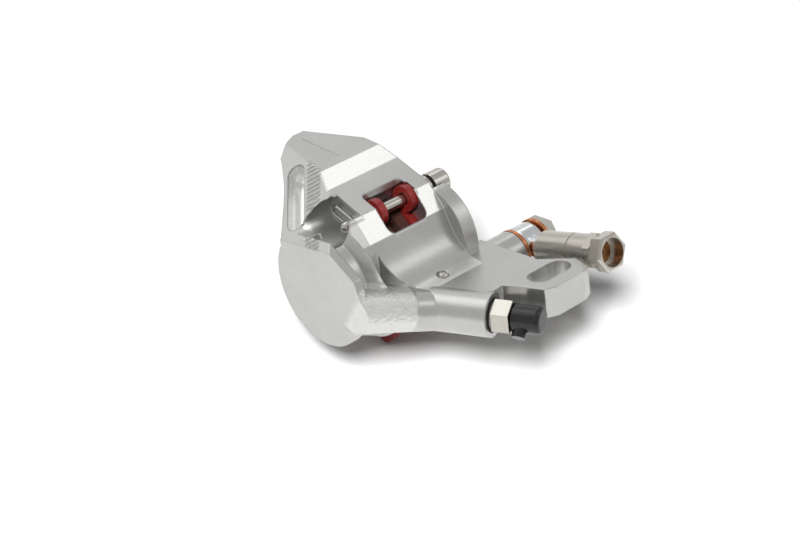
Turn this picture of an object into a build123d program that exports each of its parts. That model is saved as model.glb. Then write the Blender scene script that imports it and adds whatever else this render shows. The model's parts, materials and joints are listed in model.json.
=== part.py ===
from build123d import *
import os
from math import asin, cos, radians, sin

# Post-mount hydraulic disc brake caliper, millimetres.
# Origin: midway between the two mounting slots, on the face that sits on the posts.
# X runs from ear to ear, Y across the rotor (-Y is the wheel side), Z away from the posts.

os.makedirs("parts", exist_ok=True)

# Mounting ears
mount_spacing = 74.0
slot_width = 6.4
slot_length = 12.8
ear_thickness = 8.0
ear_end_wall = 3.8
ear_half_width = 8.9
ear_root_x = 30.0
ear_waist_y = 3.0

# Rotor that the caliper is laid out for
rotor_radius = 80.0
rotor_y = -16.9
rotor_tilt = 40.4
piston_depth = 7.8
rotor_slot_width = 6.4
roof_clearance = 0.7

# Piston bores
end_z = 10.6
piston_z = 8.0
piston_radius = 9.5
piston_clearance = 0.05
piston_length = 5.2
piston_wall = 1.6
piston_floor = 1.8
piston_edge = 0.4
near_bore_depth = 5.4
magnet_radius = 4.0
magnet_gap = 0.2

# Square seals in the bore walls
seal_width = 2.2
seal_depth = 1.7
seal_setback = 1.4
seal_lip = 0.04

# Brake pads
plate_gap = 8.0
plate_thickness = 2.0
friction_thickness = 2.9
pad_half_length = 14.0
pad_inner_reach = 18.8
pad_outer_reach = 8.4
pad_corner_radius = 4.0
friction_half_length = 12.0
friction_offset = -0.5
friction_half_width = 7.8
friction_corner_radius = 2.0
pad_border = 1.2
pad_grip_width = 8.0
pad_clearance = 0.35
tab_radius = 3.6

# Pad pin, its washer and its spring clip
pin_z = 23.0
pin_radius = 1.5
pin_clearance = 0.05
pin_hole_clearance = 0.25
pin_head_radius = 3.4
pin_head_length = 5.2
pin_head_edge = 0.9
pin_neck_radius = 2.7
pin_neck_length = 1.2
pin_washer_radius = 3.5
pin_washer_thickness = 0.9
pin_socket_width = 2.5
pin_socket_depth = 3.5
pin_collar_radius = 2.2
pin_collar_length = 0.8
pin_ball_radius = 1.6
clip_wire_radius = 0.4
clip_half = 1.35
clip_reach = 5.8
clip_tail = 3.3
clip_tilt = 21.0
pin_groove_radius = 0.9
pin_head_room = 0.5
clip_seat_radius = 3.9
clip_seat_depth = 1.3

# Bridge over the rotor, as seen along Y
bridge_near_y = -30.0
bridge_far_y = -6.0
prow_x = -35.4
prow_top_z = 33.8
prow_low_z = 32.4
hump_edge_x = -14.7
hump_edge_z = 32.0
strip_edge_x = -8.2
strip_edge_z = 30.0
pin_crest_x = 2.9
pin_crest_z = 25.8
facet_foot_x = 7.5
facet_foot_z = 19.8
face_top_x = 9.3
face_top_z = 15.4
face_bend_x = 11.0
face_bend_z = 12.6
face_foot_x = 16.0
face_foot_z = 8.8

# Wing and cylinder end on the wheel side
near_face_y = -43.0
near_face_radius = 15.4
flange_thickness = 2.4
wing_start_z = 21.6
wing_rise_share = 1.48
wing_skew_share = -0.11
waist_radius = 10.9
block_radius = 18.2
block_near_y = -34.6
block_shoulder_y = -30.4
block_foot_radius = 13.6
waist_start_y = -36.6

# Cylinder end on the hose side, with its screwed cap
far_face_y = -1.2
far_radius = 14.2
far_lip = 0.6
cap_radius = 10.1
cap_access = 0.2
cap_thickness = 2.3
cap_recess = 0.5
cap_clearance = 0.05
cap_spanner_radius = 1.2
cap_spanner_circle = 7.0
cap_spanner_depth = 1.2
cap_seal_width = 1.0
cap_seal_depth = 0.8

# Window above the pads
window_left_x = -2.6
window_right_x = 7.5
window_near_y = -24.2
window_far_y = -11.2
window_corner_radius = 1.6

# Bleed nipple and its boss
boss_end_x = 34.2
boss_end_y = -17.3
boss_z = 2.6
boss_angle = 22.0
boss_radius = 5.6
boss_length = 26.0
nipple_recess_radius = 4.3
nipple_recess_depth = 1.4
nipple_thread_radius = 3.0
nipple_thread_length = 9.0
nipple_clearance = 0.05
nipple_seat_radius = 1.4
nipple_bore_radius = 0.9
nipple_gap = 0.3
nipple_flange_radius = 3.9
nipple_flange_length = 0.5
nipple_hex_width = 8.0
nipple_hex_length = 4.7
nipple_barb_radius = 2.6
nipple_barb_length = 5.4
nipple_groove_radius = 2.0
nipple_seal_inner_radius = 3.05
nipple_seal_outer_radius = 4.25
rubber_cap_radius = 3.5
rubber_cap_gap = 0.3
rubber_cap_length = 7.2
rubber_cap_clearance = 0.1
rubber_cap_end = 1.6
rubber_cap_edge = 1.1
rubber_tab_radius = 1.8
rubber_tab_length = 1.5

# Hose connection: hollow bolt, eye, washers, barrel and nut
banjo_x = 13.8
banjo_z = 2.4
banjo_face_y = 10.0
banjo_boss_radius = 5.7
banjo_thread_radius = 3.0
banjo_thread_clearance = 0.05
banjo_thread_length = 9.0
copper_radius = 5.8
copper_thickness = 1.0
eye_radius = 5.6
eye_thickness = 7.0
eye_edge = 1.6
eye_bore_clearance = 0.08
eye_side_clearance = 0.03
eye_channel_width = 2.6
eye_channel_depth = 0.8
bolt_head_width = 10.0
bolt_head_length = 3.4
bolt_head_edge = 0.6
bolt_socket_width = 5.0
bolt_socket_depth = 3.0
bolt_bore_radius = 1.2
bolt_cross_radius = 0.9
hose_angle = 12.5
neck_radius = 3.2
neck_end = 7.4
ring_radius = 3.9
ring_length = 0.8
barrel_radius = 4.3
barrel_start = 8.2
barrel_length = 17.6
barrel_groove = 0.2
barrel_groove_width = 0.4
barrel_groove_share = 0.62
collar_width = 8.6
collar_length = 2.4
collar_turn = 30.0
nut_width = 9.0
nut_length = 3.8
nut_edge = 0.5
nut_bore_radius = 3.7
insert_radius = 1.1
insert_bore_radius = 0.7
insert_length = 4.6
olive_radius = 3.0
olive_length = 3.0
olive_depth = 1.6
hex_sides = 6

# Fluid ways between the two sides, and the plug of the drilled one
passage_radius = 1.25
plug_x = 16.9
plug_y = -17.1
plug_radius = 1.5
plug_crown_share = 0.8

# Foot of the slope, the floor beside it, and the left side of bridge and wing
ramp_foot_x = 20.0
ramp_cut_x = 8.4
ramp_tip_x = 16.4
ramp_tip_y = -26.0
web_top_z = 7.8
web_bottom_z = -0.8
web_near_x = 13.5
web_near_y = -37.0
web_far_x = 19.5
block_left_x = -17.0
left_shoulder_z = 21.0
left_bend_x = -23.8
left_bend_z = 27.8
prow_under_x = -29.9
prow_under_z = 30.6
wing_side_x = -19.6
wing_side_z = 25.3
wing_low_x = -12.9
wing_low_z = 20.9
wing_root_x = -12.9
wing_root_z = 14.0
wing_right_x = -6.4
wing_cut_size = 90.0
prow_tip_far_y = -15.0
prow_tip_near_y = -17.5
prow_cut_x = -20.5
prow_near_x = -31.5
prow_near_y = -25.5
flange_flat_offset = 13.0
flange_flat_angle = 56.0
wing_thickness = 6.5

# Plate between block and right ear, seen from above
block_right_x = 9.0
plate_near_y = -27.4
plate_corner_x = 29.0
plate_corner_y = -19.4
plate_end_y = -15.6
scallop_x = 32.5
scallop_y = -12.0
ear_near_x = 36.6
ear_near_y = 10.0
ear_turn_x = 42.6
ear_turn_y = 7.6
ear_flat_y = 4.8
ear_far_turn_y = 7.9
ear_far_x = 37.5
plate_far_y = 2.6

# Arm of the left ear
left_arm_near_y = -12.6
left_arm_x = -28.0

# Bend between the nipple's boss and the end face
bend_x = 11.6
bend_z = 8.4
bend_end_x = 20.0
bend_end_y = -24.0
bend_radius = 5.2
bend_fill = 5.4

# Rounded-end pocket and the line cut in the hump
pocket_x = -17.3
pocket_z = 27.1
pocket_length = 21.8
pocket_width = 5.2
pocket_depth = 4.6
pocket_run_x = 14.5
pocket_run_y = -14.0
pocket_run_z = -8.2
mark_x = -25.0
mark_y = -17.0
mark_length = 14.0
mark_width = 0.4
mark_depth = 0.3

# Roots of the drilled ways
banjo_boss_root_y = -2.0
nipple_way_length = 29.0
plug_length = 3.2
plug_top_z = 9.2
feed_y = -5.4

# One overrun for every cut
cut_over = 2.0

# Places worked out from the sizes above
slot_x = mount_spacing / 2
ear_end_x = slot_x + slot_width / 2 + ear_end_wall
piston_to_axle = rotor_radius - piston_depth
tilt = radians(rotor_tilt)
rotor_x = -piston_to_axle * sin(tilt)
rotor_z = piston_z - piston_to_axle * cos(tilt)
roof_radius = rotor_radius + roof_clearance
near_plate_y = rotor_y - plate_gap / 2
far_plate_y = rotor_y + plate_gap / 2
near_plate_back_y = near_plate_y - plate_thickness
far_plate_back_y = far_plate_y + plate_thickness
near_wall_y = near_plate_back_y - pad_clearance
far_wall_y = far_plate_back_y + pad_clearance
bore_radius = piston_radius + piston_clearance
cap_outer_y = far_face_y - cap_recess
cap_inner_y = cap_outer_y - cap_thickness
flange_back_y = near_face_y + flange_thickness
boss_dir = Vector(cos(radians(boss_angle)), sin(radians(boss_angle)), 0)
boss_end = Vector(boss_end_x, boss_end_y, boss_z)
hose_dir = Vector(cos(radians(hose_angle)), 0, sin(radians(hose_angle)))
eye_near_y = banjo_face_y + copper_thickness
eye_far_y = eye_near_y + eye_thickness
hose_y = eye_near_y + eye_thickness / 2
bolt_head_y = eye_far_y + copper_thickness

window_x = (window_left_x + window_right_x) / 2
window_y = (window_near_y + window_far_y) / 2
window_width = window_right_x - window_left_x
window_depth = window_far_y - window_near_y
pad_inner_edge = friction_half_width + pad_border - friction_offset
pad_grip_left = pad_half_length - pad_grip_width
near_seal_y = near_wall_y - seal_setback
far_seal_y = far_wall_y + seal_setback + seal_width
wing_normal = Vector(wing_skew_share, -1, wing_rise_share).normalized()
wing_plane = Plane(origin=(0, near_face_y, wing_start_z), z_dir=wing_normal)
flat_cos = cos(radians(flange_flat_angle))
flat_sin = sin(radians(flange_flat_angle))
flat_foot = (flange_flat_offset * flat_cos, near_face_y, end_z + flange_flat_offset * flat_sin)
flange_flat_plane = Plane(origin=flat_foot, x_dir=(flat_sin, 0, -flat_cos), z_dir=(flat_cos, 0, flat_sin))
pocket_y = near_face_y + (pocket_z - wing_start_z) * wing_rise_share + pocket_x * wing_skew_share
pocket_dir = Vector(pocket_run_x, pocket_run_y, pocket_run_z)
pocket_plane = Plane(origin=(pocket_x, pocket_y, pocket_z), x_dir=pocket_dir, z_dir=wing_normal)
pocket_round_plane = pocket_plane.offset(pocket_width / 2 - pocket_depth)
hump_fall = (prow_top_z - hump_edge_z) / (hump_edge_x - prow_x)
mark_z = prow_top_z - (mark_x - prow_x) * hump_fall
mark_dir = Vector(1, 0, -hump_fall)
mark_plane = Plane(origin=(mark_x, mark_y, mark_z), x_dir=mark_dir, z_dir=(hump_fall, 0, 1))
bend_start = Vector(bend_x, near_face_y - cut_over, bend_z)
bend_end = Vector(bend_end_x, bend_end_y, boss_z)
bend_length = (bend_end - bend_start).length
bend_plane = Plane(origin=bend_start, x_dir=(1, 0, 0), z_dir=bend_end - bend_start)
feed_start = Vector(banjo_x, feed_y, banjo_z)
feed_end = Vector(0, feed_y, piston_z)
feed_length = (feed_end - feed_start).length - piston_radius / 2
feed_plane = Plane(origin=feed_start, z_dir=feed_end - feed_start)
plug_floor_z = plug_top_z - plug_length
tab_across = -(pin_z - piston_z) * sin(tilt)
tab_out = (pin_z - piston_z) * cos(tilt)
pin_head_y = bridge_far_y + pin_washer_thickness + pin_neck_length
clip_seat_y = bridge_near_y + clip_seat_depth
pin_groove_y = clip_seat_y - pin_collar_length - 2 * clip_wire_radius - pin_clearance
pin_ball_y = pin_groove_y - pin_ball_radius * cos(asin(pin_groove_radius / pin_ball_radius))
clip_y = clip_seat_y - pin_collar_length - clip_wire_radius
clip_dir = (cos(radians(clip_tilt)), 0, -sin(radians(clip_tilt)))
clip_plane = Plane(origin=(0, clip_y, pin_z), x_dir=clip_dir, z_dir=(0, -1, 0))
clip_seat_plane = Plane(origin=(0, clip_seat_y, pin_z), x_dir=clip_dir, z_dir=(0, -1, 0))
nipple_hex_end = nipple_gap + nipple_flange_length + nipple_hex_length
rubber_tab_start = nipple_hex_end + rubber_cap_gap + rubber_tab_radius
rubber_tab_origin = boss_end + boss_dir * rubber_tab_start
rubber_tab_dir = Vector(boss_dir.Y, -boss_dir.X, -1)
rubber_tab_plane = Plane(origin=rubber_tab_origin, z_dir=rubber_tab_dir)
nut_start = barrel_start + barrel_length + collar_length
olive_start = nut_start - olive_depth - olive_length


def across(y):
    """Sketch plane square to Y at y: its x is X, its y is Z, and its normal is -Y."""
    return Plane.XZ.offset(-y)


def along_boss(distance):
    """Sketch plane square to the nipple, at a distance out of the boss's end face."""
    return Plane(origin=boss_end + boss_dir * distance, x_dir=(0, 0, 1), z_dir=boss_dir)


def along_hose(distance):
    """Sketch plane square to the hose connector, at a distance from the banjo bolt's axis."""
    origin = Vector(banjo_x, hose_y, banjo_z) + hose_dir * distance
    return Plane(origin=origin, x_dir=(0, 1, 0), z_dir=hose_dir)


def on_wing(x, z):
    """Sketch point of the wing's face that lies at x and z."""
    y = near_face_y + (z - wing_start_z) * wing_rise_share + x * wing_skew_share
    local = wing_plane.to_local_coords(Vector(x, y, z))
    return (local.X, local.Y)


def pad_frame(y):
    """Plane at y, centred on the piston, with its y axis away from the rotor's centre."""
    origin = (0, y, piston_z)
    return Plane(origin=origin, x_dir=(cos(tilt), 0, -sin(tilt)), z_dir=(0, -1, 0))


bridge_outline = [
    (ramp_foot_x, ear_thickness),
    (ramp_foot_x, 0),
    (block_left_x, 0),
    (block_left_x, left_shoulder_z),
    (left_bend_x, left_bend_z),
    (prow_under_x, prow_under_z),
    (prow_x, prow_low_z),
    (prow_x, prow_top_z),
    (hump_edge_x, hump_edge_z),
    (strip_edge_x, strip_edge_z),
    (pin_crest_x, pin_crest_z),
    (facet_foot_x, facet_foot_z),
]
slope_points = [
    (facet_foot_x, facet_foot_z),
    (face_bend_x, face_bend_z),
    (face_foot_x, face_foot_z),
    (ramp_foot_x, ear_thickness),
]
slope_ends = [
    (face_top_x - facet_foot_x, face_top_z - facet_foot_z),
    (ramp_foot_x - face_foot_x, ear_thickness - face_foot_z),
]
wing_edge = [
    (prow_under_x, prow_under_z),
    (left_bend_x, left_bend_z),
    (wing_side_x, wing_side_z),
    (wing_low_x, wing_low_z),
    (wing_root_x, wing_root_z),
    (wing_right_x, wing_root_z),
    (wing_right_x, strip_edge_z + cut_over),
    (prow_x, prow_top_z + cut_over),
    (prow_x, prow_low_z),
]
over_bridge = [
    (ramp_foot_x, ear_thickness),
    (ramp_foot_x, prow_top_z + cut_over),
    (strip_edge_x, prow_top_z + cut_over),
    (strip_edge_x, strip_edge_z),
    (pin_crest_x, pin_crest_z),
    (facet_foot_x, facet_foot_z),
]
over_hump = [
    (prow_x - cut_over, prow_top_z + cut_over * hump_fall),
    (hump_edge_x, hump_edge_z),
    (strip_edge_x, strip_edge_z),
    (strip_edge_x, prow_top_z + cut_over),
    (prow_x - cut_over, prow_top_z + cut_over),
]
plate_outline = [
    (block_right_x, plate_near_y),
    (plate_corner_x, plate_corner_y),
    (boss_end_x - nipple_recess_depth, plate_end_y),
    (scallop_x, scallop_y),
    (ear_near_x, -ear_near_y),
    (ear_turn_x, -ear_turn_y),
    (ear_end_x, -ear_flat_y),
    (ear_end_x, ear_flat_y),
    (ear_turn_x, ear_far_turn_y),
    (ear_far_x, ear_half_width),
    (ear_root_x, ear_waist_y),
    (block_right_x, plate_far_y),
]
pad_outline = [
    (-pad_half_length, -pad_inner_edge),
    (-pad_half_length, pad_outer_reach),
    (pad_half_length, pad_outer_reach),
    (pad_half_length, -pad_inner_reach),
    (pad_grip_left, -pad_inner_reach),
    (pad_grip_left, -pad_inner_edge),
]
prow_far_cut = [
    (prow_cut_x, bridge_far_y),
    (prow_x - cut_over, prow_tip_far_y),
    (prow_x - cut_over, bridge_far_y + cut_over),
    (prow_cut_x, bridge_far_y + cut_over),
]
ramp_near_cut = [
    (ramp_cut_x, bridge_near_y),
    (ramp_tip_x, ramp_tip_y),
    (ramp_foot_x + cut_over, ramp_tip_y),
    (ramp_foot_x + cut_over, bridge_near_y - cut_over),
    (ramp_cut_x, bridge_near_y - cut_over),
]
web_outline = [
    (ramp_cut_x, bridge_near_y + cut_over),
    (web_far_x, ramp_tip_y),
    (web_near_x, web_near_y),
    (ramp_cut_x, flange_back_y),
]
prow_near_cut = [
    (prow_x, prow_tip_near_y),
    (prow_near_x, prow_near_y),
    (prow_near_x, near_face_y),
    (prow_x - cut_over, near_face_y),
    (prow_x - cut_over, prow_tip_near_y),
]
cylinder_profile = [
    (0, far_face_y),
    (far_radius - far_lip, far_face_y),
    (far_radius, far_face_y - far_lip),
    (far_radius, bridge_far_y),
    (block_radius, bridge_far_y),
    (block_radius, block_shoulder_y),
    (block_foot_radius, block_near_y),
    (waist_radius, waist_start_y),
    (waist_radius, flange_back_y),
    (near_face_radius, flange_back_y),
    (near_face_radius, near_face_y),
    (0, near_face_y),
]
left_plate_outline = [
    (-block_right_x, left_arm_near_y),
    (left_arm_x, left_arm_near_y),
    (-ear_near_x, -ear_near_y),
    (-ear_turn_x, -ear_turn_y),
    (-ear_end_x, -ear_flat_y),
    (-ear_end_x, ear_flat_y),
    (-ear_turn_x, ear_far_turn_y),
    (-ear_far_x, ear_half_width),
    (-ear_root_x, ear_waist_y),
    (-block_right_x, plate_far_y),
]
pad_slot_outline = [
    (-pad_half_length - pad_clearance, -pad_inner_reach - near_face_radius),
    (-pad_half_length - pad_clearance, pad_outer_reach + pad_clearance),
    (pad_half_length + pad_clearance, pad_outer_reach + pad_clearance),
    (pad_half_length + pad_clearance, -pad_inner_reach - near_face_radius),
]


with BuildPart() as caliper_body:
    # Bridge over the rotor
    with BuildSketch(across(bridge_far_y)):
        with BuildLine():
            Polyline(*bridge_outline)
            Spline(*slope_points, tangents=slope_ends)
        make_face()
    extrude(amount=bridge_far_y - bridge_near_y)
    # Wing that leans from the end face up to the ridge of the hump
    with BuildSketch(wing_plane):
        with BuildLine():
            Polyline(*[on_wing(x, z) for x, z in wing_edge], close=True)
        make_face()
    extrude(amount=-wing_thickness)
    with BuildSketch(across(bridge_far_y)):
        with BuildLine():
            Polyline(*over_hump, close=True)
        make_face()
    extrude(amount=bridge_far_y - near_face_y, mode=Mode.SUBTRACT)
    # Hump narrows to a prow, seen from above, clear of the mounting bolt
    with BuildSketch(Plane.XY.offset(ear_thickness + cut_over)):
        with BuildLine():
            Polyline(*prow_far_cut, close=True)
        make_face()
        with BuildLine():
            Polyline(*prow_near_cut, close=True)
        make_face()
    extrude(amount=prow_top_z, mode=Mode.SUBTRACT)
    # Both cylinder ends, with the waist behind the flange on the wheel side
    with BuildSketch(Plane.XY.offset(end_z)):
        with BuildLine():
            Polyline(*cylinder_profile, close=True)
        make_face()
    revolve(axis=Axis((0, 0, end_z), (0, 1, 0)))
    # Everything in front of the wing's face goes
    with BuildSketch(wing_plane):
        Rectangle(wing_cut_size, wing_cut_size)
    extrude(amount=wing_cut_size, mode=Mode.SUBTRACT)
    # Top of the bridge is faceted down to the ramp
    with BuildSketch(across(bridge_far_y)):
        with BuildLine():
            Polyline(*over_bridge)
            Spline(*slope_points, tangents=slope_ends)
        make_face()
    extrude(amount=bridge_far_y - block_near_y, mode=Mode.SUBTRACT)
    # Near corner of the slope is cut away down to the floor beside it
    with BuildSketch(Plane.XY.offset(web_top_z)):
        with BuildLine():
            Polyline(*ramp_near_cut, close=True)
        make_face()
    extrude(amount=prow_top_z, mode=Mode.SUBTRACT)
    # Flat on the flange, facing the pin
    with BuildSketch(flange_flat_plane):
        Rectangle(2 * near_face_radius, 2 * flange_thickness)
    extrude(amount=near_face_radius, mode=Mode.SUBTRACT)
    # Foot of the block and the plate with its right ear
    with BuildSketch(Plane.XY):
        with BuildLine():
            Polyline(*plate_outline, close=True)
        make_face()
    extrude(amount=ear_thickness)
    # Left ear and the arm that carries it
    with BuildSketch(Plane.XY):
        with BuildLine():
            Polyline(*left_plate_outline, close=True)
        make_face()
    extrude(amount=ear_thickness)
    # Floor between the block and the nipple's boss
    with BuildSketch(Plane.XY.offset(web_bottom_z)):
        with BuildLine():
            Polyline(*web_outline, close=True)
        make_face()
    extrude(amount=web_top_z - web_bottom_z)
    # Boss of the bleed nipple, and the bend that joins it to the end face
    with BuildSketch(along_boss(0)):
        Circle(boss_radius)
    extrude(amount=-boss_length)
    with BuildSketch(bend_plane):
        with Locations((-bend_fill / 2, 0)):
            SlotCenterToCenter(bend_fill, 2 * bend_radius)
    extrude(amount=bend_length)
    # Boss of the hose connection
    with BuildSketch(across(banjo_face_y)):
        with Locations((banjo_x, banjo_z)):
            Circle(banjo_boss_radius)
    extrude(amount=banjo_face_y - banjo_boss_root_y)
    # Nothing stands proud of the end face
    with BuildSketch(across(near_face_y)):
        Rectangle(wing_cut_size, wing_cut_size)
    extrude(amount=wing_cut_size, mode=Mode.SUBTRACT)
    # Slot for the rotor and the deeper one for the pads
    with BuildSketch(across(rotor_y + rotor_slot_width / 2)):
        with Locations((rotor_x, rotor_z)):
            Circle(roof_radius)
    extrude(amount=rotor_slot_width, mode=Mode.SUBTRACT)
    with BuildSketch(pad_frame(far_wall_y)):
        with BuildLine():
            Polyline(*pad_slot_outline, close=True)
        make_face()
    extrude(amount=far_wall_y - near_wall_y, mode=Mode.SUBTRACT)
    with BuildSketch(across(far_wall_y)):
        with Locations((0, pin_z)):
            Circle(tab_radius + pad_clearance)
    extrude(amount=far_wall_y - near_wall_y, mode=Mode.SUBTRACT)
    # Window
    with BuildSketch(Plane.XY.offset(piston_z)):
        with Locations((window_x, window_y)):
            RectangleRounded(window_width, window_depth, window_corner_radius)
    extrude(amount=prow_top_z, mode=Mode.SUBTRACT)
    # Piston bores with their seal grooves
    with BuildSketch(across(near_wall_y + cut_over)):
        with Locations((0, piston_z)):
            Circle(bore_radius)
    extrude(amount=near_bore_depth + cut_over, mode=Mode.SUBTRACT)
    with BuildSketch(across(far_face_y + cut_over)):
        with Locations((0, piston_z)):
            Circle(bore_radius)
    extrude(amount=far_face_y - far_wall_y + 2 * cut_over, mode=Mode.SUBTRACT)
    for groove_y in (near_seal_y, far_seal_y):
        with BuildSketch(across(groove_y)):
            with Locations((0, piston_z)):
                Circle(piston_radius + seal_depth)
        extrude(amount=seal_width, mode=Mode.SUBTRACT)
    # Seat of the screwed cap
    with BuildSketch(across(far_face_y + cut_over)):
        with Locations((0, piston_z)):
            Circle(cap_radius + cap_clearance)
    extrude(amount=far_face_y - cap_inner_y + cut_over, mode=Mode.SUBTRACT)
    with BuildSketch(across(far_face_y + far_radius)):
        with Locations((0, piston_z)):
            Circle(cap_radius + cap_access)
    extrude(amount=far_radius, mode=Mode.SUBTRACT)
    # Slots for the mounting bolts
    with BuildSketch(Plane.XY.offset(-cut_over)):
        with Locations((slot_x, 0), (-slot_x, 0)):
            SlotOverall(slot_length, slot_width, rotation=90)
    extrude(amount=ear_thickness + 2 * cut_over, mode=Mode.SUBTRACT)
    # Pocket in the wing, with rounded ends and a round floor
    with BuildSketch(pocket_plane):
        SlotOverall(pocket_length, pocket_width)
    extrude(amount=pocket_width / 2 - pocket_depth, mode=Mode.SUBTRACT)
    with BuildSketch(pocket_round_plane):
        SlotOverall(pocket_length, pocket_width)
        with Locations((0, -pocket_width / 2)):
            Rectangle(pocket_length, pocket_width, mode=Mode.SUBTRACT)
    revolve(axis=Axis(pocket_round_plane.origin, pocket_round_plane.x_dir), mode=Mode.SUBTRACT)
    # Centre line of the rotor, cut in the hump
    with BuildSketch(mark_plane):
        Rectangle(mark_length, mark_width)
    extrude(amount=-mark_depth, mode=Mode.SUBTRACT)
    # Hole for the pad pin
    with BuildSketch(across(bridge_far_y + cut_over)):
        with Locations((0, pin_z)):
            Circle(pin_radius + pin_clearance)
    extrude(amount=bridge_far_y - flange_back_y, mode=Mode.SUBTRACT)
    # Room for the pin's head on the hose side, and for its clip on the wheel side
    with BuildSketch(across(bridge_far_y + far_radius)):
        with Locations((0, pin_z)):
            Circle(pin_head_radius + pin_head_room)
    extrude(amount=far_radius, mode=Mode.SUBTRACT)
    with BuildSketch(clip_seat_plane):
        with Locations((-clip_reach / 2, 0)):
            SlotCenterToCenter(clip_reach, 2 * clip_seat_radius)
    extrude(amount=clip_seat_y - flange_back_y, mode=Mode.SUBTRACT)
    # Ways for nipple, hose bolt and fluid
    with BuildSketch(along_boss(0)):
        Circle(nipple_recess_radius)
    extrude(amount=-nipple_recess_depth, mode=Mode.SUBTRACT)
    with BuildSketch(along_boss(0)):
        Circle(nipple_thread_radius + nipple_clearance)
    extrude(amount=-nipple_thread_length, mode=Mode.SUBTRACT)
    with BuildSketch(along_boss(0)):
        Circle(nipple_seat_radius)
    extrude(amount=-nipple_way_length, mode=Mode.SUBTRACT)
    with BuildSketch(across(banjo_face_y)):
        with Locations((banjo_x, banjo_z)):
            Circle(banjo_thread_radius + banjo_thread_clearance)
    extrude(amount=banjo_thread_length, mode=Mode.SUBTRACT)
    with BuildSketch(across(banjo_face_y)):
        with Locations((banjo_x, banjo_z)):
            Circle(passage_radius)
    extrude(amount=banjo_face_y - feed_y + passage_radius, mode=Mode.SUBTRACT)
    with BuildSketch(feed_plane):
        Circle(passage_radius)
    extrude(amount=feed_length, mode=Mode.SUBTRACT)
    # Drilled way between the two bores, closed by a plug
    with BuildSketch(Plane.XY.offset(plug_floor_z)):
        with Locations((plug_x, plug_y)):
            Circle(plug_radius)
    extrude(amount=prow_top_z, mode=Mode.SUBTRACT)
caliper_body.part.label = "caliper_body"
export_step(caliper_body.part, "parts/caliper_body.step")

with BuildPart() as bore_cap:
    with BuildSketch(across(cap_outer_y)):
        with Locations((0, piston_z)):
            Circle(cap_radius)
    extrude(amount=cap_thickness)
    with BuildSketch(across(cap_outer_y)):
        with Locations((-cap_spanner_circle, piston_z), (cap_spanner_circle, piston_z)):
            Circle(cap_spanner_radius)
    extrude(amount=cap_spanner_depth, mode=Mode.SUBTRACT)
    with BuildSketch(across(cap_inner_y + cap_seal_width)):
        with Locations((0, piston_z)):
            Circle(cap_radius)
            Circle(cap_radius - cap_seal_depth, mode=Mode.SUBTRACT)
    extrude(amount=cap_seal_width, mode=Mode.SUBTRACT)
bore_cap.part.label = "bore_cap"
export_step(bore_cap.part, "parts/bore_cap.step")

with BuildPart() as bore_cap_seal:
    with BuildSketch(across(cap_inner_y + cap_seal_width)):
        with Locations((0, piston_z)):
            Circle(cap_radius)
            Circle(cap_radius - cap_seal_depth, mode=Mode.SUBTRACT)
    extrude(amount=cap_seal_width)
bore_cap_seal.part.label = "bore_cap_seal"
export_step(bore_cap_seal.part, "parts/bore_cap_seal.step")

# Cup pistons, open towards the pads
with BuildPart() as outboard_piston:
    with BuildSketch(across(near_plate_back_y)):
        with Locations((0, piston_z)):
            Circle(piston_radius)
    extrude(amount=piston_length)
    with BuildSketch(across(near_plate_back_y)):
        with Locations((0, piston_z)):
            Circle(piston_radius - piston_wall)
    extrude(amount=piston_length - piston_floor, mode=Mode.SUBTRACT)
    chamfer(outboard_piston.faces().sort_by(Axis.Y)[0].edges(), length=piston_edge)
outboard_piston.part.label = "outboard_piston"
export_step(outboard_piston.part, "parts/outboard_piston.step")

with BuildPart() as inboard_piston:
    with BuildSketch(across(far_plate_back_y)):
        with Locations((0, piston_z)):
            Circle(piston_radius)
    extrude(amount=-piston_length)
    with BuildSketch(across(far_plate_back_y)):
        with Locations((0, piston_z)):
            Circle(piston_radius - piston_wall)
    extrude(amount=piston_floor - piston_length, mode=Mode.SUBTRACT)
    chamfer(inboard_piston.faces().sort_by(Axis.Y)[-1].edges(), length=piston_edge)
inboard_piston.part.label = "inboard_piston"
export_step(inboard_piston.part, "parts/inboard_piston.step")

with BuildPart() as outboard_piston_magnet:
    with BuildSketch(across(near_plate_back_y - magnet_gap)):
        with Locations((0, piston_z)):
            Circle(magnet_radius)
    extrude(amount=piston_length - piston_floor - magnet_gap)
outboard_piston_magnet.part.label = "outboard_piston_magnet"
export_step(outboard_piston_magnet.part, "parts/outboard_piston_magnet.step")

with BuildPart() as inboard_piston_magnet:
    with BuildSketch(across(far_plate_back_y + magnet_gap)):
        with Locations((0, piston_z)):
            Circle(magnet_radius)
    extrude(amount=piston_floor + magnet_gap - piston_length)
inboard_piston_magnet.part.label = "inboard_piston_magnet"
export_step(inboard_piston_magnet.part, "parts/inboard_piston_magnet.step")

with BuildPart() as outboard_piston_seal:
    with BuildSketch(across(near_seal_y)):
        with Locations((0, piston_z)):
            Circle(piston_radius + seal_depth)
            Circle(piston_radius + seal_lip, mode=Mode.SUBTRACT)
    extrude(amount=seal_width)
outboard_piston_seal.part.label = "outboard_piston_seal"
export_step(outboard_piston_seal.part, "parts/outboard_piston_seal.step")

with BuildPart() as inboard_piston_seal:
    with BuildSketch(across(far_seal_y)):
        with Locations((0, piston_z)):
            Circle(piston_radius + seal_depth)
            Circle(piston_radius + seal_lip, mode=Mode.SUBTRACT)
    extrude(amount=seal_width)
inboard_piston_seal.part.label = "inboard_piston_seal"
export_step(inboard_piston_seal.part, "parts/inboard_piston_seal.step")


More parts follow.
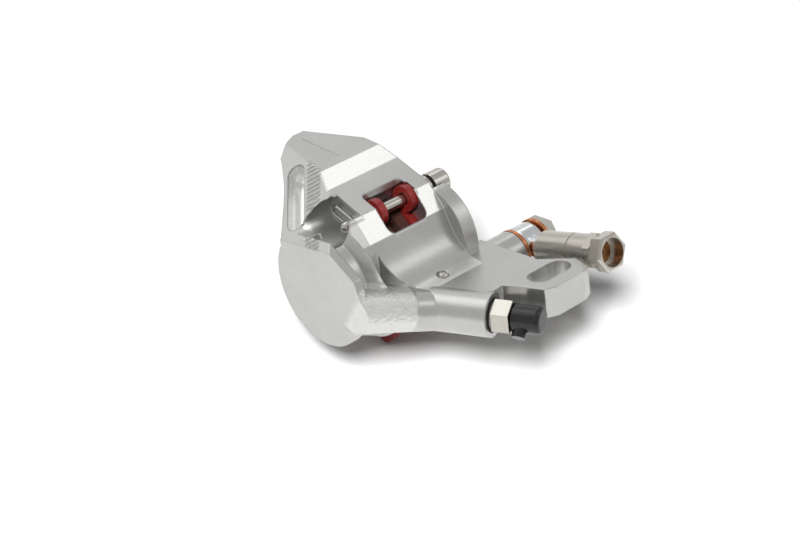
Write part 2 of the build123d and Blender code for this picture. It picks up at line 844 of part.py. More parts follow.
def pad_plate_shape():
    """Plate of a brake pad: rounded outline in the pad frame, with a tab round the pin."""
    with BuildSketch(Plane.XY, mode=Mode.PRIVATE) as outline:
        with BuildLine():
            Polyline(*pad_outline, close=True)
        make_face()
        fillet(outline.vertices(), radius=pad_corner_radius - pad_border)
        with Locations((tab_across, tab_out)):
            Circle(tab_radius)
            Circle(pin_radius + pin_hole_clearance, mode=Mode.SUBTRACT)
    return outline.sketch


with BuildPart() as outboard_pad_plate:
    with BuildSketch(pad_frame(near_plate_y)):
        add(pad_plate_shape())
    extrude(amount=plate_thickness)
outboard_pad_plate.part.label = "outboard_pad_plate"
export_step(outboard_pad_plate.part, "parts/outboard_pad_plate.step")

with BuildPart() as inboard_pad_plate:
    with BuildSketch(pad_frame(far_plate_back_y)):
        add(pad_plate_shape())
    extrude(amount=plate_thickness)
inboard_pad_plate.part.label = "inboard_pad_plate"
export_step(inboard_pad_plate.part, "parts/inboard_pad_plate.step")

with BuildPart() as outboard_friction_pad:
    with BuildSketch(pad_frame(near_plate_y + friction_thickness)):
        with Locations((0, friction_offset)):
            RectangleRounded(2 * friction_half_length, 2 * friction_half_width, friction_corner_radius)
    extrude(amount=friction_thickness)
outboard_friction_pad.part.label = "outboard_friction_pad"
export_step(outboard_friction_pad.part, "parts/outboard_friction_pad.step")

with BuildPart() as inboard_friction_pad:
    with BuildSketch(pad_frame(far_plate_y)):
        with Locations((0, friction_offset)):
            RectangleRounded(2 * friction_half_length, 2 * friction_half_width, friction_corner_radius)
    extrude(amount=friction_thickness)
inboard_friction_pad.part.label = "inboard_friction_pad"
export_step(inboard_friction_pad.part, "parts/inboard_friction_pad.step")

pin_points = [
    (pin_ball_y, 0),
    (pin_ball_y, pin_groove_radius),
    (clip_seat_y - pin_collar_length, pin_groove_radius),
    (clip_seat_y - pin_collar_length, pin_radius),
    (pin_head_y, pin_radius),
    (pin_head_y, pin_head_radius),
    (pin_head_y + pin_head_length, pin_head_radius),
    (pin_head_y + pin_head_length, 0),
]


def pin_profile(points):
    """Points of a turned outline: each is a place along Y and a radius about the pin's axis."""
    return [(radius, y) for y, radius in points]


with BuildPart() as pad_pin:
    with BuildSketch(Plane.XY.offset(pin_z)):
        with BuildLine():
            Polyline(*pin_profile(pin_points), close=True)
        make_face()
    revolve(axis=Axis((0, 0, pin_z), (0, 1, 0)))
    with Locations((0, pin_ball_y, pin_z)):
        Sphere(pin_ball_radius)
    fillet(pad_pin.faces().sort_by(Axis.Y)[-1].edges(), radius=pin_head_edge)
    with BuildSketch(across(pin_head_y + pin_head_length)):
        with Locations((0, pin_z)):
            RegularPolygon(pin_socket_width / 2, hex_sides, major_radius=False)
    extrude(amount=pin_socket_depth, mode=Mode.SUBTRACT)
pad_pin.part.label = "pad_pin"
export_step(pad_pin.part, "parts/pad_pin.step")

with BuildPart() as pad_pin_washer:
    with BuildSketch(across(bridge_far_y + pin_washer_thickness)):
        with Locations((0, pin_z)):
            Circle(pin_washer_radius)
            Circle(pin_radius + pin_clearance, mode=Mode.SUBTRACT)
    extrude(amount=pin_washer_thickness)
pad_pin_washer.part.label = "pad_pin_washer"
export_step(pad_pin_washer.part, "parts/pad_pin_washer.step")

with BuildPart() as pad_pin_ring:
    with BuildSketch(across(pin_head_y)):
        with Locations((0, pin_z)):
            Circle(pin_neck_radius)
            Circle(pin_radius + pin_clearance, mode=Mode.SUBTRACT)
    extrude(amount=pin_neck_length)
pad_pin_ring.part.label = "pad_pin_ring"
export_step(pad_pin_ring.part, "parts/pad_pin_ring.step")

with BuildPart() as pad_pin_collar:
    with BuildSketch(across(clip_seat_y)):
        with Locations((0, pin_z)):
            Circle(pin_collar_radius)
            Circle(pin_radius + pin_clearance, mode=Mode.SUBTRACT)
    extrude(amount=pin_collar_length)
pad_pin_collar.part.label = "pad_pin_collar"
export_step(pad_pin_collar.part, "parts/pad_pin_collar.step")

with BuildPart() as pad_pin_clip:
    with BuildLine(clip_plane) as clip_path:
        near_leg = Line((clip_tail, -clip_half), (-clip_reach, -clip_half))
        loop = ThreePointArc(near_leg @ 1, (-clip_reach - clip_half, 0), (-clip_reach, clip_half))
        Line(loop @ 1, (clip_tail, clip_half))
    with BuildSketch(Plane(origin=near_leg @ 0, z_dir=near_leg % 0)):
        Circle(clip_wire_radius)
    sweep(path=clip_path.wires()[0])
pad_pin_clip.part.label = "pad_pin_clip"
export_step(pad_pin_clip.part, "parts/pad_pin_clip.step")

with BuildPart() as bleed_nipple:
    with BuildSketch(along_boss(-nipple_thread_length + nipple_gap)):
        Circle(nipple_thread_radius)
    extrude(amount=nipple_thread_length)
    with BuildSketch(along_boss(nipple_gap)):
        Circle(nipple_flange_radius)
    extrude(amount=nipple_flange_length)
    with BuildSketch(along_boss(nipple_gap + nipple_flange_length)):
        RegularPolygon(nipple_hex_width / 2, hex_sides, major_radius=False)
    extrude(amount=nipple_hex_length)
    with BuildSketch(along_boss(nipple_hex_end)):
        Circle(nipple_groove_radius)
    extrude(amount=nipple_barb_length)
    with BuildSketch(along_boss(nipple_hex_end + nipple_barb_length / 2)):
        Circle(nipple_barb_radius)
    extrude(amount=nipple_barb_length / 2)
    with BuildSketch(along_boss(-nipple_thread_length)):
        Circle(nipple_bore_radius)
    extrude(amount=nipple_thread_length + nipple_hex_end + nipple_barb_length, mode=Mode.SUBTRACT)
bleed_nipple.part.label = "bleed_nipple"
export_step(bleed_nipple.part, "parts/bleed_nipple.step")

with BuildPart() as bleed_seal_ring:
    with BuildSketch(along_boss(-nipple_recess_depth)):
        Circle(nipple_seal_outer_radius)
        Circle(nipple_seal_inner_radius, mode=Mode.SUBTRACT)
    extrude(amount=nipple_recess_depth + nipple_gap - nipple_clearance)
bleed_seal_ring.part.label = "bleed_seal_ring"
export_step(bleed_seal_ring.part, "parts/bleed_seal_ring.step")

with BuildPart() as bleed_cap:
    with BuildSketch(along_boss(nipple_hex_end + rubber_cap_gap)):
        Circle(rubber_cap_radius)
    extrude(amount=rubber_cap_length)
    fillet(bleed_cap.faces().sort_by(Axis(boss_end, boss_dir))[-1].edges(), radius=rubber_cap_edge)
    with BuildSketch(rubber_tab_plane):
        Circle(rubber_tab_radius)
    extrude(amount=rubber_cap_radius + rubber_tab_length)
    with BuildSketch(along_boss(nipple_hex_end + rubber_cap_gap)):
        Circle(nipple_barb_radius + rubber_cap_clearance)
    extrude(amount=rubber_cap_length - rubber_cap_end, mode=Mode.SUBTRACT)
bleed_cap.part.label = "bleed_cap"
export_step(bleed_cap.part, "parts/bleed_cap.step")

for washer_name, washer_y in (("banjo_inner_washer", eye_near_y), ("banjo_outer_washer", bolt_head_y)):
    with BuildPart() as copper_washer:
        with BuildSketch(across(washer_y)):
            with Locations((banjo_x, banjo_z)):
                Circle(copper_radius)
                Circle(banjo_thread_radius + eye_bore_clearance, mode=Mode.SUBTRACT)
        extrude(amount=copper_thickness - eye_side_clearance)
    copper_washer.part.label = washer_name
    export_step(copper_washer.part, "parts/" + washer_name + ".step")

with BuildPart() as banjo_bolt:
    with BuildSketch(across(bolt_head_y + bolt_head_length)):
        with Locations((banjo_x, banjo_z)):
            RegularPolygon(bolt_head_width / 2, hex_sides, major_radius=False)
    extrude(amount=bolt_head_length)
    chamfer(banjo_bolt.faces().sort_by(Axis.Y)[-1].edges(), length=bolt_head_edge)
    with BuildSketch(across(bolt_head_y)):
        with Locations((banjo_x, banjo_z)):
            Circle(banjo_thread_radius)
    extrude(amount=bolt_head_y - banjo_face_y + banjo_thread_length - passage_radius)
    with BuildSketch(across(hose_y)):
        with Locations((banjo_x, banjo_z)):
            Circle(bolt_bore_radius)
    extrude(amount=hose_y - banjo_face_y + banjo_thread_length, mode=Mode.SUBTRACT)
    with BuildSketch(Plane(origin=(banjo_x, hose_y, banjo_z), z_dir=hose_dir)):
        Circle(bolt_cross_radius)
    extrude(amount=banjo_thread_radius, both=True, mode=Mode.SUBTRACT)
    with BuildSketch(across(bolt_head_y + bolt_head_length)):
        with Locations((banjo_x, banjo_z)):
            RegularPolygon(bolt_socket_width / 2, hex_sides, major_radius=False)
    extrude(amount=bolt_socket_depth, mode=Mode.SUBTRACT)
banjo_bolt.part.label = "banjo_bolt"
export_step(banjo_bolt.part, "parts/banjo_bolt.step")

with BuildPart() as banjo_fitting:
    with BuildSketch(across(eye_far_y - eye_side_clearance)):
        with Locations((banjo_x, banjo_z)):
            Circle(eye_radius)
    extrude(amount=eye_thickness - 2 * eye_side_clearance)
    fillet(banjo_fitting.edges().filter_by(GeomType.CIRCLE), radius=eye_edge)
    with BuildSketch(along_hose(0)):
        Circle(neck_radius)
    extrude(amount=neck_end)
    with BuildSketch(across(eye_far_y)):
        with Locations((banjo_x, banjo_z)):
            Circle(banjo_thread_radius + eye_bore_clearance)
    extrude(amount=eye_thickness, mode=Mode.SUBTRACT)
    with BuildSketch(across(hose_y + eye_channel_width / 2)):
        with Locations((banjo_x, banjo_z)):
            Circle(banjo_thread_radius + eye_channel_depth)
    extrude(amount=eye_channel_width, mode=Mode.SUBTRACT)
    with BuildSketch(along_hose(0)):
        Circle(passage_radius)
    extrude(amount=neck_end, mode=Mode.SUBTRACT)
banjo_fitting.part.label = "banjo_fitting"
export_step(banjo_fitting.part, "parts/banjo_fitting.step")

with BuildPart() as connector_ring:
    with BuildSketch(along_hose(neck_end)):
        Circle(ring_radius)
        Circle(passage_radius, mode=Mode.SUBTRACT)
    extrude(amount=ring_length)
connector_ring.part.label = "connector_ring"
export_step(connector_ring.part, "parts/connector_ring.step")

with BuildPart() as hose_barrel:
    with BuildSketch(along_hose(barrel_start)):
        Circle(barrel_radius)
    extrude(amount=barrel_length)
    with BuildSketch(along_hose(barrel_start + barrel_length)):
        RegularPolygon(collar_width / 2, hex_sides, major_radius=False, rotation=collar_turn)
    extrude(amount=collar_length)
    with BuildSketch(along_hose(barrel_start + barrel_length * barrel_groove_share)):
        Circle(barrel_radius)
        Circle(barrel_radius - barrel_groove, mode=Mode.SUBTRACT)
    extrude(amount=barrel_groove_width, mode=Mode.SUBTRACT)
    with BuildSketch(along_hose(barrel_start)):
        Circle(passage_radius)
    extrude(amount=barrel_length + collar_length, mode=Mode.SUBTRACT)
    with BuildSketch(along_hose(olive_start)):
        Circle(olive_radius)
    extrude(amount=barrel_length + collar_length, mode=Mode.SUBTRACT)
hose_barrel.part.label = "hose_barrel"
export_step(hose_barrel.part, "parts/hose_barrel.step")

with BuildPart() as hose_nut:
    with BuildSketch(along_hose(nut_start)):
        RegularPolygon(nut_width / 2, hex_sides, major_radius=False)
    extrude(amount=nut_length)
    chamfer(hose_nut.faces().sort_by(Axis((0, 0, 0), hose_dir))[-1].edges(), length=nut_edge)
    with BuildSketch(along_hose(nut_start)):
        Circle(nut_bore_radius)
    extrude(amount=nut_length, mode=Mode.SUBTRACT)
hose_nut.part.label = "hose_nut"
export_step(hose_nut.part, "parts/hose_nut.step")

with BuildPart() as hose_olive:
    with BuildSketch(along_hose(olive_start)):
        Circle(olive_radius)
        Circle(insert_radius, mode=Mode.SUBTRACT)
    extrude(amount=olive_length)
hose_olive.part.label = "hose_olive"
export_step(hose_olive.part, "parts/hose_olive.step")

with BuildPart() as hose_insert:
    with BuildSketch(along_hose(olive_start)):
        Circle(insert_radius)
        Circle(insert_bore_radius, mode=Mode.SUBTRACT)
    extrude(amount=insert_length)
hose_insert.part.label = "hose_insert"
export_step(hose_insert.part, "parts/hose_insert.step")

with BuildPart() as transfer_port_plug:
    with BuildSketch(Plane.XY.offset(plug_floor_z)):
        with Locations((plug_x, plug_y)):
            Circle(plug_radius)
    extrude(amount=plug_length)
    fillet(transfer_port_plug.faces().sort_by(Axis.Z)[-1].edges(), radius=plug_radius * plug_crown_share)
transfer_port_plug.part.label = "transfer_port_plug"
export_step(transfer_port_plug.part, "parts/transfer_port_plug.step")
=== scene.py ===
import json
import math
import bpy
from mathutils import Matrix, Vector

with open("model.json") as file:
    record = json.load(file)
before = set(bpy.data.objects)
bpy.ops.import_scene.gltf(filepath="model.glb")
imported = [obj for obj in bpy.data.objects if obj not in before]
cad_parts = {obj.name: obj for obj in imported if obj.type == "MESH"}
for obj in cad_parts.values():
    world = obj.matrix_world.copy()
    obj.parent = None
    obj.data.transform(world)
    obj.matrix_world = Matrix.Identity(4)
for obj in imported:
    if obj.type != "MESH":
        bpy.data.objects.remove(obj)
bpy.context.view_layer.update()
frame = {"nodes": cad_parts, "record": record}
nodes = frame["nodes"]
scene = bpy.context.scene

# Camera, as fitted to the photograph
focal_px = 2098.2
photo_width_px = 800
sensor_width = 36.0
right = Vector((0.67261, 0.73071, -0.11691))
up = Vector((-0.26130, 0.38233, 0.88631))
back = Vector((0.69233, -0.56559, 0.44809))
camera_place = Vector((0.36905, -0.31802, 0.24437))

# Places on the body that its finish and its painted highlights follow, in metres: a reach is its two
# ends and their softness
wing_normal = (-0.11, -1, 1.48)
wing_foot = (0, -0.043, 0.0216)
wing_skin = (-0.0003, 0.0004, 0.0002)
ridge_normal = (1, 1, 0)
ridge_foot = (-0.0434, 0, 0)
ridge_reach = (-0.0016, 0.0017, 0.0004)
scallop_run = (0.70, -0.60, -0.38)
scallop_rate = 4500.0
scallop_wander = 0.0009
pocket_run = (14.5, -14.0, -8.2)
pocket_foot = (-0.01716, -0.03167, 0.0252)
pocket_radius = 0.0028
pocket_reach = (-0.0108, 0.0108, 0.0003)
pocket_depth = (-0.0055, -0.0008, 0.0004)
bend_run = (8.4, 19.0, -5.8)
bend_foot = (0.0116, -0.043, 0.0084)
bend_radius = 0.0062
bend_reach = (0.0006, 0.0150, 0.0008)
tube_soft = 0.0006

# Freshly machined strips, their colour partly their real finish and partly a painted highlight: the
# ends (x, z) of their sections, and their reach along y
strip = ((-0.0147, 0.0320), (-0.0082, 0.0300))
facet = ((0.0029, 0.0258), (0.0075, 0.0198))
cut_skin = (-0.0002, 0.0002, 0.0001)
cut_end_soft = 0.00012
cut_reach = (-0.031, -0.005, 0.0002)

# Tones of the body's metal; the strip, pocket and bend tones are painted highlights, those of the
# strips and the bend partly their real finish
body_dark = (0.485, 0.483, 0.468)
body_light = (0.55, 0.548, 0.532)
mark_tone = (0.44, 0.44, 0.43)
cut_highlight_tone = (0.76, 0.76, 0.735)
pocket_highlight_tone = (0.88, 0.88, 0.86)
filed_highlight_tone = (0.74, 0.74, 0.72)
scallop_tone = (0.30, 0.30, 0.29)

# Depth of the relief and radius of the softened edges
body_relief = 0.00006
body_edge = 0.0005
metal_relief = 0.00003
metal_edge = 0.0002
connector_edge = 0.00012
paint_relief = 0.00005
friction_relief = 0.0001
paint_edge = 0.0001
edge_samples = 16

# Directions of the noise: even, stretched along y, and for turned and drawn pieces
even = (1, 1, 1)
along_y = (1, 0.12, 1)
half_along_y = (1, 0.5, 1)
turned = (1, 8, 1)
drawn = (1, 0.1, 1)

# Floor and light
floor_normal = Vector((0.264, -0.089, 0.960)).normalized()
floor_drop = 0.00005
floor_half = 3.0
floor_tone = 0.93
sky_level = 0.60
sky_share_on_paint = 0.16
lobe_end_soft = 0.12
lobe_foot = 0.2
lobe_top = 0.45
dark_way = (0.80, -0.58, 0.16)
dark_depth = 0.08
dark_rim = 0.72
dark_core = 0.97
lamp_target = Vector((0, -0.015, 0.01))
lamp_distance = 5.0
lamp_left = 0.16
lamp_front = 0.70
lamp_size = 1.30
lamp_power = 322.0

cam_data = bpy.data.cameras.new("camera")
cam_data.sensor_width = sensor_width
cam_data.lens = focal_px * sensor_width / photo_width_px
cam_data.clip_start = 0.01
cam_data.clip_end = 20
camera = bpy.data.objects.new("camera", cam_data)
scene.collection.objects.link(camera)
camera.matrix_world = Matrix((
    (right.x, up.x, back.x, camera_place.x),
    (right.y, up.y, back.y, camera_place.y),
    (right.z, up.z, back.z, camera_place.z),
    (0, 0, 0, 1)))
scene.camera = camera


mats = {}


class Nodes:
    """A node tree of a new material, or the tree given, with short ways to add and link nodes."""

    def __init__(self, name, tree=None):
        if tree:
            self.tree = tree
            return
        mats[name] = bpy.data.materials.new(name)
        mats[name].use_nodes = True
        self.tree = mats[name].node_tree
        self.bsdf = self.tree.nodes["Principled BSDF"]
        self.coord = self.add("ShaderNodeTexCoord").outputs["Object"]

    def add(self, kind, **values):
        """A new node, with values set on its properties or else on its inputs."""
        node = self.tree.nodes.new(kind)
        for key, value in values.items():
            if hasattr(node, key):
                setattr(node, key, value)
            else:
                node.inputs[key].default_value = value
        return node

    def link(self, a, b):
        self.tree.links.new(a, b)

    def noise(self, stretch, scale, detail=4.0, rough=0.6):
        """Noise in object space, its coordinates scaled by stretch."""
        m = self.add("ShaderNodeMapping", Scale=stretch)
        self.link(self.coord, m.inputs["Vector"])
        n = self.add("ShaderNodeTexNoise", Scale=scale, Detail=detail, Roughness=rough)
        self.link(m.outputs["Vector"], n.inputs["Vector"])
        return n.outputs["Fac"]

    def span(self, value, lo, hi, from_lo=0.3, from_hi=0.7):
        """The range from_lo to from_hi of value, mapped to lo and hi."""
        r = self.add("ShaderNodeMapRange")
        r.inputs["From Min"].default_value = from_lo
        r.inputs["From Max"].default_value = from_hi
        r.inputs["To Min"].default_value = lo
        r.inputs["To Max"].default_value = hi
        self.link(value, r.inputs["Value"])
        return r.outputs["Result"]

    def mix(self, fac, a, b):
        """Colour a where fac is 0, b where it is 1."""
        m = self.add("ShaderNodeMix", data_type="RGBA")
        for i, c in ((6, a), (7, b)):
            if isinstance(c, tuple):
                m.inputs[i].default_value = (*c, 1)
            else:
                self.link(c, m.inputs[i])
        self.link(fac, m.inputs[0])
        return m.outputs[2]

    def math(self, operation, a, b=0.0, clamp=False):
        m = self.add("ShaderNodeMath", operation=operation, use_clamp=clamp)
        for i, c in enumerate((a, b)):
            if isinstance(c, (int, float)):
                m.inputs[i].default_value = c
            else:
                self.link(c, m.inputs[i])
        return m.outputs[0]

    def times(self, a, b):
        return self.math("MULTIPLY", a, b)

    def plus(self, a, b):
        return self.math("ADD", a, b)

    def minus(self, a, b):
        return self.math("SUBTRACT", a, b)

    def axis(self, direction, foot):
        """Distance along a direction from a point, in metres."""
        d = Vector(direction).normalized()
        v = self.add("ShaderNodeVectorMath", operation="DOT_PRODUCT")
        self.link(self.coord, v.inputs[0])
        v.inputs[1].default_value = d
        return self.minus(v.outputs["Value"], d.dot(Vector(foot)))

    def within(self, value, lo, hi, soft):
        """1 between lo and hi, falling to 0 over soft on both sides."""
        rise = self.span(value, 0.0, 1.0, lo - soft, lo)
        fall = self.span(value, 1.0, 0.0, hi, hi + soft)
        return self.times(rise, fall)

    def tube(self, foot, direction, radius):
        """1 nearer than radius to the line through foot, falling to 0 over tube_soft."""
        away = self.add("ShaderNodeVectorMath", operation="SUBTRACT")
        self.link(self.coord, away.inputs[0])
        away.inputs[1].default_value = foot
        cross = self.add("ShaderNodeVectorMath", operation="CROSS_PRODUCT")
        self.link(away.outputs["Vector"], cross.inputs[0])
        cross.inputs[1].default_value = Vector(direction).normalized()
        reach = self.add("ShaderNodeVectorMath", operation="LENGTH")
        self.link(cross.outputs["Vector"], reach.inputs[0])
        return self.span(reach.outputs["Value"], 1.0, 0.0, radius, radius + tube_soft)

    def cut_and_highlight_strip(self, start, end):
        """1 on the flat strip whose section runs from start to end, both (x, z)."""
        dx, dz = end[0] - start[0], end[1] - start[1]
        foot = (start[0], 0, start[1])
        off = self.within(self.axis((-dz, 0, dx), foot), *cut_skin)
        run = self.within(self.axis((dx, 0, dz), foot), 0, math.hypot(dx, dz), cut_end_soft)
        wide = self.within(self.axis((0, 1, 0), (0, 0, 0)), *cut_reach)
        return self.times(self.times(off, run), wide)

    def bump(self, height, strength, distance, edge):
        """Relief from height, over edges softened by the radius edge."""
        b = self.add("ShaderNodeBump", Strength=strength, Distance=distance)
        self.link(height, b.inputs["Height"])
        e = self.add("ShaderNodeBevel", samples=edge_samples, Radius=edge)
        self.link(e.outputs["Normal"], b.inputs["Normal"])
        self.link(b.outputs["Normal"], self.bsdf.inputs["Normal"])


def body_metal(name):
    """Milled aluminium: fresh cuts made bright partly by their finish and partly by a painted
    highlight, cutter scallops beside the pocket, a bend worked with a file and lightened the same
    way, and a pocket floor lightened with a painted highlight.
    """
    n = Nodes(name)
    tone = n.noise(even, scale=60.0, detail=3.0)
    grain = n.noise(even, scale=2600.0, detail=3.0)
    lines = n.noise(along_y, scale=1300.0)

    # Where the strips were freshly machined: smoother there, and lightened with a painted highlight
    cut_and_highlight = n.plus(n.cut_and_highlight_strip(*strip), n.cut_and_highlight_strip(*facet))
    wing = n.within(n.axis(wing_normal, wing_foot), *wing_skin)
    ridge = n.times(wing, n.within(n.axis(ridge_normal, ridge_foot), *ridge_reach))
    wave = n.noise(even, scale=500.0, detail=2.0)
    along = n.plus(n.axis(scallop_run, (0, 0, 0)), n.times(wave, scallop_wander))
    scallop = n.times(n.math("SINE", n.times(along, scallop_rate)), ridge)
    # The worked bend: file scratches in its relief, and a lighter colour that is partly its real file
    # finish and partly a painted highlight
    filed_and_highlight = n.times(n.tube(bend_foot, bend_run, bend_radius),
                    n.within(n.axis(bend_run, bend_foot), *bend_reach))
    pocket = n.times(n.tube(pocket_foot, pocket_run, pocket_radius),
                     n.within(n.axis(wing_normal, wing_foot), *pocket_depth))
    pocket = n.times(pocket, n.within(n.axis(pocket_run, pocket_foot), *pocket_reach))

    color = n.mix(n.span(tone, 0.0, 1.0), body_dark, body_light)
    color = n.mix(n.span(lines, 0.0, 0.22), color, mark_tone)
    # Painted highlight on the machined strips, partly their real fresh finish
    color = n.mix(n.times(cut_and_highlight, 0.8), color, cut_highlight_tone)
    # Painted highlight on the pocket floor
    color = n.mix(n.times(pocket, 0.9), color, pocket_highlight_tone)
    # Painted highlight on the bend, partly its real file finish
    color = n.mix(n.times(filed_and_highlight, 0.8), color, filed_highlight_tone)
    color = n.mix(n.math("MULTIPLY", scallop, 0.55, clamp=True), color, scallop_tone)
    n.link(color, n.bsdf.inputs["Base Color"])
    n.bsdf.inputs["Metallic"].default_value = 0.92

    rough = n.span(grain, 0.27, 0.35)
    smooth = n.times(n.plus(cut_and_highlight, pocket), 0.06)
    n.link(n.minus(rough, smooth), n.bsdf.inputs["Roughness"])

    scratch = n.noise(half_along_y, scale=1100.0, detail=3.0, rough=0.7)
    height = n.times(lines, 0.25)
    height = n.plus(height, n.times(scallop, 8.0))
    height = n.plus(height, n.times(n.times(scratch, filed_and_highlight), 28.0))
    n.bump(height, 0.35, body_relief, body_edge)


def metal(name, dark, light, rough, grain, streak=even, bump=0.15, edge=metal_edge):
    """Turned or milled metal: slow tone changes, fine tool marks, soft edges."""
    n = Nodes(name)
    tone = n.noise(even, scale=90.0, detail=3.0)
    marks = n.noise(streak, scale=grain, detail=5.0, rough=0.65)
    color = n.mix(n.span(n.times(tone, marks), 0.0, 1.0, 0.1, 0.45), dark, light)
    n.link(color, n.bsdf.inputs["Base Color"])
    n.bsdf.inputs["Metallic"].default_value = 1.0
    n.link(n.span(marks, rough - 0.02, rough + 0.03), n.bsdf.inputs["Roughness"])
    n.bump(marks, bump, metal_relief, edge)


def plain(name, dark, light, rough, grain, bump=0.3, depth=paint_relief, specular=0.5):
    """Paint, rubber or friction material: mottled colour, grainy surface."""
    n = Nodes(name)
    spots = n.noise(even, scale=grain, detail=5.0)
    n.link(n.mix(n.span(spots, 0.0, 1.0), dark, light), n.bsdf.inputs["Base Color"])
    n.link(n.span(spots, rough - 0.07, rough + 0.07), n.bsdf.inputs["Roughness"])
    n.bsdf.inputs["Specular IOR Level"].default_value = specular
    n.bump(spots, bump, depth, paint_edge)


# The finish of each material slot, under the slot's name
body_metal("machined_aluminium")
metal("piston_alloy", (0.25, 0.25, 0.25), (0.36, 0.36, 0.35), rough=0.3, grain=1500.0, streak=turned)
metal("magnet", (0.3, 0.3, 0.31), (0.4, 0.4, 0.41), rough=0.25, grain=800.0)
plain("seal_rubber", (0.006, 0.006, 0.006), (0.014, 0.014, 0.014), rough=0.5, grain=2500.0,
      specular=0.3)
plain("pad_paint", (0.15, 0.011, 0.010), (0.22, 0.019, 0.016), rough=0.36, grain=1800.0, bump=0.25)
plain("friction_material", (0.040, 0.018, 0.014), (0.085, 0.038, 0.030), rough=0.85, grain=3500.0,
      bump=0.8, depth=friction_relief, specular=0.2)
metal("pin_steel", (0.50, 0.48, 0.44), (0.60, 0.58, 0.53), rough=0.22, grain=900.0, streak=drawn,
      bump=0.05)
metal("spring_wire", (0.42, 0.42, 0.40), (0.56, 0.56, 0.54), rough=0.22, grain=900.0, bump=0.05)
metal("nipple_nickel", (0.48, 0.465, 0.42), (0.56, 0.545, 0.49), rough=0.24, grain=500.0, bump=0.01)
plain("cap_rubber", (0.004, 0.004, 0.0042), (0.007, 0.007, 0.0073), rough=0.22, grain=1500.0,
      bump=0.06)
metal("copper", (0.52, 0.20, 0.085), (0.68, 0.30, 0.14), rough=0.28, grain=900.0, bump=0.08)
metal("bolt_steel", (0.44, 0.42, 0.38), (0.56, 0.54, 0.49), rough=0.3, grain=500.0, bump=0.02)
metal("fitting_silver", (0.66, 0.67, 0.68), (0.76, 0.77, 0.78), rough=0.2, grain=500.0, bump=0.03)
metal("connector_nickel", (0.54, 0.515, 0.46), (0.57, 0.545, 0.487), rough=0.28, grain=200.0,
      bump=0.0, edge=connector_edge)
metal("brass", (0.46, 0.2, 0.08), (0.66, 0.33, 0.14), rough=0.25, grain=900.0)
slot_of = {s["node"]: s["material_slot"] for s in frame["record"]["subparts"]}
for node, obj in nodes.items():
    for s in obj.material_slots:
        s.material = mats[slot_of[node]]

# Floor under the lowest point, seen from above only
lowest = min(floor_normal.dot(o.matrix_world @ v.co) for o in nodes.values() for v in o.data.vertices)
side = floor_normal.cross(Vector((0, 1, 0))).normalized()
forward = floor_normal.cross(side)
foot = floor_normal * (lowest - floor_drop)
corners = [foot + side * a * floor_half + forward * b * floor_half
           for a, b in ((-1, -1), (1, -1), (1, 1), (-1, 1))]
floor_mesh = bpy.data.meshes.new("floor")
floor_mesh.from_pydata(corners, [], [(0, 1, 2, 3)])
floor = bpy.data.objects.new("floor", floor_mesh)
scene.collection.objects.link(floor)
if floor_mesh.polygons[0].normal.dot(floor_normal) < 0:
    floor_mesh.flip_normals()
floor_mat = bpy.data.materials.new("floor")
floor_mat.use_nodes = True
ground = Nodes(None, floor_mat.node_tree)
ground.tree.nodes.clear()
geometry = ground.add("ShaderNodeNewGeometry")
clear = ground.add("ShaderNodeBsdfTransparent")
white = ground.add("ShaderNodeBsdfDiffuse", Color=(floor_tone, floor_tone, floor_tone, 1))
mixer = ground.add("ShaderNodeMixShader")
out = ground.add("ShaderNodeOutputMaterial")
ground.link(geometry.outputs["Backfacing"], mixer.inputs[0])
ground.link(white.outputs[0], mixer.inputs[1])
ground.link(clear.outputs[0], mixer.inputs[2])
ground.link(mixer.outputs[0], out.inputs["Surface"])
floor.data.materials.append(floor_mat)

# World: white to the camera, a grey room with soft boxes to the object
world = bpy.data.worlds.new("studio")
scene.world = world
world.use_nodes = True
sky = Nodes(None, world.node_tree)
sky.tree.nodes.clear()
path = sky.add("ShaderNodeLightPath")
seen = sky.add("ShaderNodeBackground", Color=(1, 1, 1, 1), Strength=1.0)
lit = sky.add("ShaderNodeBackground", Color=(1, 1, 1, 1))
ray = sky.add("ShaderNodeTexCoord").outputs["Generated"]
way = sky.add("ShaderNodeSeparateXYZ")
sky.link(ray, way.inputs[0])


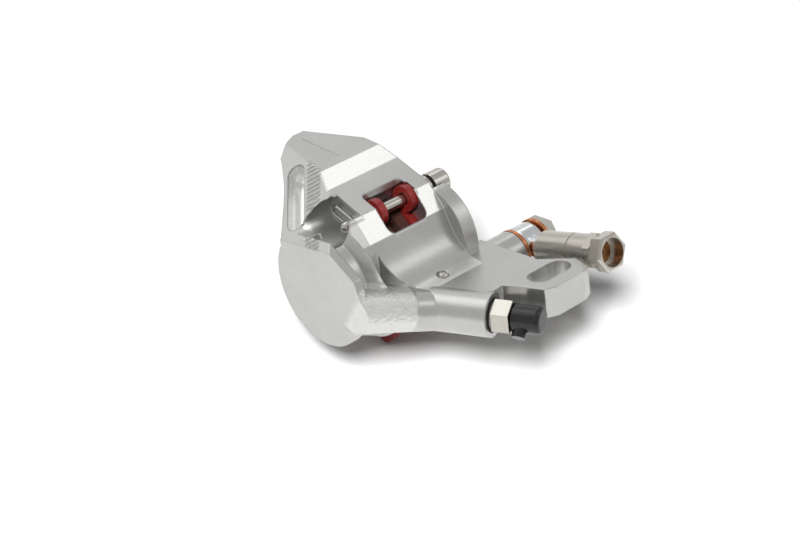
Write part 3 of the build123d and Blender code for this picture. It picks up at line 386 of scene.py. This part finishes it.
def lobe(x, x_half, y_lo, y_hi, strength, soft=0.08):
    """A soft box in the sky: a band about x that runs from y_lo to y_hi."""
    band = sky.within(way.outputs["X"], x - x_half, x + x_half, soft)
    run = sky.within(way.outputs["Y"], y_lo, y_hi, lobe_end_soft)
    high = sky.span(way.outputs["Z"], 0.0, strength, lobe_foot, lobe_top)
    return sky.times(sky.times(band, run), high)


lobes = (
    lobe(x=-0.39, x_half=0.06, y_lo=-0.45, y_hi=0.62, strength=1.15, soft=0.05),
    lobe(x=0.60, x_half=0.07, y_lo=0.2, y_hi=0.8, strength=0.95),
    lobe(x=-0.28, x_half=0.16, y_lo=-0.55, y_hi=0.0, strength=0.55),
    lobe(x=-0.75, x_half=0.14, y_lo=-0.5, y_hi=0.1, strength=0.46),
    lobe(x=-0.70, x_half=0.12, y_lo=0.35, y_hi=0.85, strength=0.30))
total = lobes[0]
for other in lobes[1:]:
    total = sky.plus(total, other)
near = sky.add("ShaderNodeVectorMath", operation="DOT_PRODUCT")
sky.link(ray, near.inputs[0])
near.inputs[1].default_value = dark_way
total = sky.minus(total, sky.span(near.outputs["Value"], 0.0, dark_depth, dark_rim, dark_core))
share = sky.span(path.outputs["Is Diffuse Ray"], 1.0, sky_share_on_paint, 0.0, 1.0)
sky.link(sky.times(sky.plus(total, sky_level), share), lit.inputs["Strength"])
world_mix = sky.add("ShaderNodeMixShader")
world_out = sky.add("ShaderNodeOutputWorld")
sky.link(path.outputs["Is Camera Ray"], world_mix.inputs[0])
sky.link(lit.outputs[0], world_mix.inputs[1])
sky.link(seen.outputs[0], world_mix.inputs[2])
sky.link(world_mix.outputs[0], world_out.inputs["Surface"])

# One soft lamp, a little in front and to the left, for the floor and its shadow
front = (back - back.dot(floor_normal) * floor_normal).normalized()
lamp_way = (floor_normal - lamp_left * right + lamp_front * front).normalized()
lamp_data = bpy.data.lights.new("shade", "AREA")
lamp_data.shape = "RECTANGLE"
lamp_data.size = lamp_size
lamp_data.size_y = lamp_size
lamp_data.energy = lamp_power
shade = bpy.data.objects.new("shade", lamp_data)
scene.collection.objects.link(shade)
shade.location = lamp_target + lamp_distance * lamp_way
shade.rotation_euler = (-lamp_way).to_track_quat("-Z", "Y").to_euler()
shade.visible_glossy = False

scene.view_settings.view_transform = "Standard"
